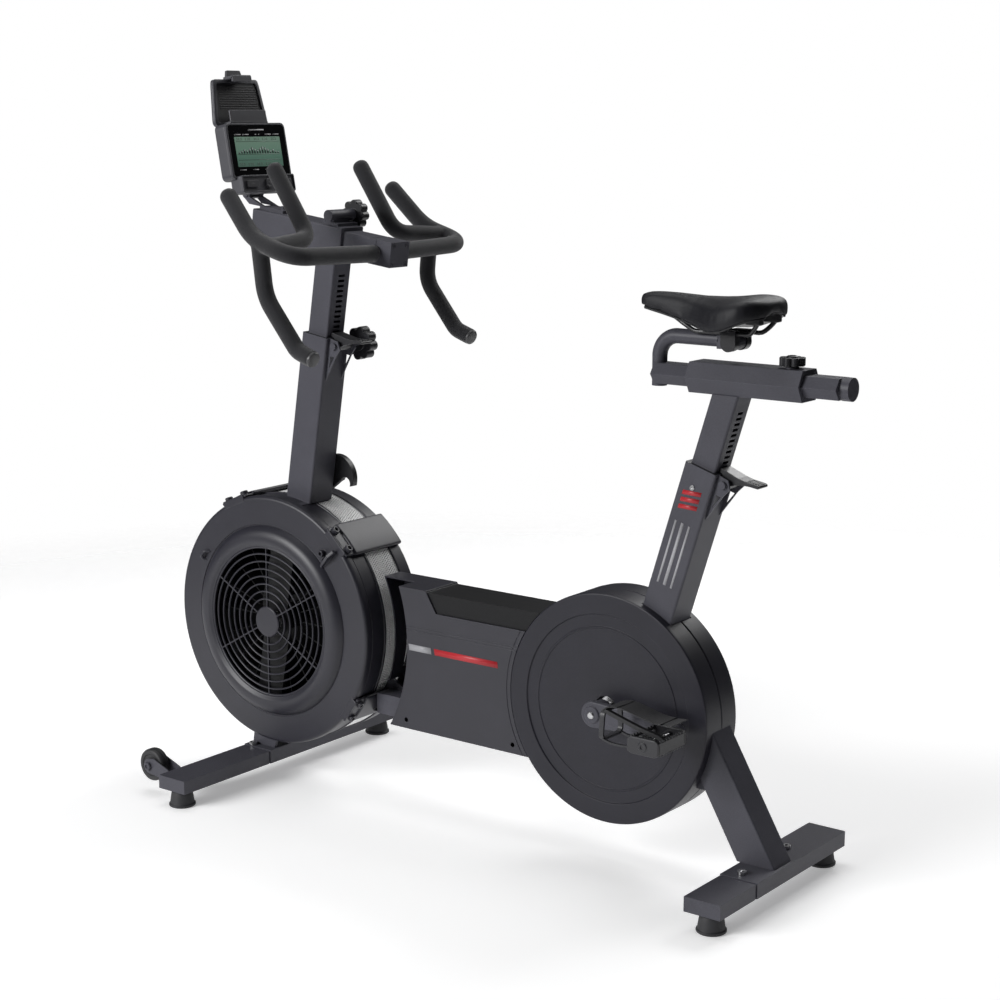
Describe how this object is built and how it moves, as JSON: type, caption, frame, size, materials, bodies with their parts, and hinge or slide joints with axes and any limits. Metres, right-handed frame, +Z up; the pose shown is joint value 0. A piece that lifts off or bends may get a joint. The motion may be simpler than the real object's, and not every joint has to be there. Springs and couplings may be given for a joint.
{
  "type": "air bike",
  "caption": "Upright air bike: caged fan, belt drive in a long cover, raked posts, adjustable handlebar and saddle, console and tablet holder.",
  "frame": {"origin": "on the floor under the middle of the bounding box, in the mid-plane of the bike", "axes": "+X towards the saddle (rear), +Y towards the right side of the bike, +Z up"},
  "size_m": [1.4826, 0.6328, 1.4068],
  "materials": {
    "powder_coat": "fine satin texture",
    "cover_plastic": "moulded, satin",
    "dark_plastic": "moulded, matte",
    "mesh_steel": "perforated, bright",
    "bright_steel": "satin",
    "cast_alloy": "cast",
    "foot_rubber": "matte",
    "wheel_rubber": "matte",
    "belt_rubber": "matte",
    "bush_nylon": "matte",
    "knob_plastic": "moulded, slight sheen",
    "pedal_plastic": "moulded, matte",
    "grip_foam": "foam, matte",
    "grip_cap": "satin",
    "console_plastic": "fine texture",
    "screen": "clear glossy window over a display",
    "key_rubber": "matte",
    "saddle_skin": "soft grain",
    "rail_steel": "satin black"
  },
  "bodies": {
    "frame": {"front_beam": "powder_coat", "rear_beam": "powder_coat", "front_post": "powder_coat", "lower_frame": "powder_coat", "seat_tube": "powder_coat", "rear_leg": "powder_coat", "bearings": "bright_steel", "shroud_left": "cover_plastic", "shroud_right": "cover_plastic", "shroud_insert": "dark_plastic", "disc_cover_left": "cover_plastic", "disc_cover_right": "cover_plastic", "fan_shell_left": "cover_plastic", "fan_shell_right": "cover_plastic", "fan_grilles": "dark_plastic", "mesh_band": "mesh_steel", "band_brackets": "cover_plastic", "wheel_forks": "powder_coat", "post_bushings": "bush_nylon", "lever_lugs": "powder_coat", "strap_hook": "dark_plastic", "drive_belt": "belt_rubber", "frame_bolts": "bright_steel", "levelling_feet": "foot_rubber"},
    "fan": {"fan_wheel": "cast_alloy", "fan_axle": "bright_steel", "fan_pulley": "cast_alloy"},
    "crank": {"crank_axle": "bright_steel", "crank_arms": "powder_coat", "drive_pulley": "cast_alloy", "pedal_spindles": "bright_steel"},
    "left_pedal": {"pedal_left": "pedal_plastic", "toe_cage_left": "pedal_plastic"},
    "right_pedal": {"pedal_right": "pedal_plastic", "toe_cage_right": "pedal_plastic"},
    "left_wheel": {"transport_wheel_left": "wheel_rubber"},
    "right_wheel": {"transport_wheel_right": "wheel_rubber"},
    "bar_column": {"handlebar_post": "powder_coat"},
    "bar_reach": {"reach_tube": "powder_coat", "bar_clamp": "powder_coat", "handlebar": "bright_steel", "handlebar_foam": "grip_foam", "bar_end_caps": "grip_cap"},
    "reach_knob": {"reach_knob": "knob_plastic"},
    "post_knob": {"post_knob": "knob_plastic"},
    "seat_knob": {"seat_knob": "knob_plastic"},
    "post_lever": {"post_lever": "knob_plastic"},
    "seat_lever": {"seat_lever": "knob_plastic"},
    "console": {"console_case": "console_plastic", "console_screen": "screen", "tablet_holder": "console_plastic"},
    "left_button": {"button_left": "key_rubber"},
    "centre_button": {"button_centre": "key_rubber"},
    "right_button": {"button_right": "key_rubber"},
    "tablet_clip": {"tablet_clip": "console_plastic"},
    "seat_column": {"seat_post": "powder_coat"},
    "seat_slider": {"seat_slide": "powder_coat"},
    "saddle": {"saddle": "saddle_skin", "saddle_rails": "rail_steel", "saddle_clamp": "powder_coat"}
  },
  "joints": [
    {"name": "fan_spin", "type": "hinge", "parent": "frame", "child": "fan", "pos_m": [-0.4896, 0, 0.3308], "axis": [0, 1, 0], "continuous": true},
    {"name": "crank_spin", "type": "hinge", "parent": "frame", "child": "crank", "pos_m": [0.3015, 0, 0.2885], "axis": [0, 1, 0], "continuous": true},
    {"name": "left_pedal_spin", "type": "hinge", "parent": "crank", "child": "left_pedal", "pos_m": [0.4715, -0.14, 0.2885], "axis": [0, 1, 0], "continuous": true},
    {"name": "right_pedal_spin", "type": "hinge", "parent": "crank", "child": "right_pedal", "pos_m": [0.1315, 0.14, 0.2885], "axis": [0, 1, 0], "continuous": true},
    {"name": "left_wheel_spin", "type": "hinge", "parent": "frame", "child": "left_wheel", "pos_m": [-0.6241, -0.2705, 0.058], "axis": [0, 1, 0], "continuous": true},
    {"name": "right_wheel_spin", "type": "hinge", "parent": "frame", "child": "right_wheel", "pos_m": [-0.6241, 0.2705, 0.058], "axis": [0, 1, 0], "continuous": true},
    {"name": "handlebar_height", "type": "slide", "parent": "frame", "child": "bar_column", "axis": [0.1564, 0, 0.9877], "range_m": [-0.09, 0.06]},
    {"name": "handlebar_reach", "type": "slide", "parent": "bar_column", "child": "bar_reach", "axis": [0.9914, 0, -0.1305], "range_m": [-0.06, 0.05]},
    {"name": "reach_knob_turn", "type": "hinge", "parent": "bar_column", "child": "reach_knob", "pos_m": [-0.35299, 0.047, 1.13421], "axis": [0, 1, 0], "range_deg": [0, 720]},
    {"name": "post_knob_turn", "type": "hinge", "parent": "frame", "child": "post_knob", "pos_m": [-0.35174, 0.055, 0.88501], "axis": [0, 1, 0], "range_deg": [0, 720]},
    {"name": "seat_knob_turn", "type": "hinge", "parent": "seat_column", "child": "seat_knob", "pos_m": [0.6294, 0, 0.925], "axis": [0, 0, 1], "range_deg": [0, 720]},
    {"name": "post_lever_press", "type": "hinge", "parent": "frame", "child": "post_lever", "pos_m": [-0.35174, 0, 0.88501], "axis": [0, 1, 0], "range_deg": [0, 25], "stiffness_Nm_per_rad": 1.2, "springref_deg": -22.92},
    {"name": "seat_lever_press", "type": "hinge", "parent": "frame", "child": "seat_lever", "pos_m": [0.51761, 0, 0.71318], "axis": [0, 1, 0], "range_deg": [0, 25], "stiffness_Nm_per_rad": 1.2, "springref_deg": -22.92},
    {"name": "console_tilt", "type": "hinge", "parent": "bar_column", "child": "console", "pos_m": [-0.58102, 0, 1.17017], "axis": [0, 1, 0], "range_deg": [-15, 15]},
    {"name": "left_button_press", "type": "slide", "parent": "console", "child": "left_button", "axis": [-0.9833, 0, -0.1822], "range_m": [0, 0.001], "stiffness_N_per_m": 600, "springref_m": -0.0005},
    {"name": "centre_button_press", "type": "slide", "parent": "console", "child": "centre_button", "axis": [-0.9833, 0, -0.1822], "range_m": [0, 0.001], "stiffness_N_per_m": 600, "springref_m": -0.0005},
    {"name": "right_button_press", "type": "slide", "parent": "console", "child": "right_button", "axis": [-0.9833, 0, -0.1822], "range_m": [0, 0.001], "stiffness_N_per_m": 600, "springref_m": -0.0005},
    {"name": "tablet_clip_lift", "type": "slide", "parent": "console", "child": "tablet_clip", "axis": [-0.1822, 0, 0.9833], "range_m": [0, 0.03], "stiffness_N_per_m": 120, "springref_m": -0.02},
    {"name": "saddle_height", "type": "slide", "parent": "frame", "child": "seat_column", "axis": [0.299, 0, 0.9542], "range_m": [-0.08, 0.06]},
    {"name": "saddle_reach", "type": "slide", "parent": "seat_column", "child": "seat_slider", "axis": [1, 0, 0], "range_m": [-0.045, 0.055]},
    {"name": "saddle_tilt", "type": "hinge", "parent": "seat_slider", "child": "saddle", "pos_m": [0.5224, 0, 0.952], "axis": [0, 1, 0], "range_deg": [-7, 15]}
  ],
  "couplings": [
    {"joint": "crank_spin", "follows": "fan_spin", "ratio": 0.16667}
  ]
}
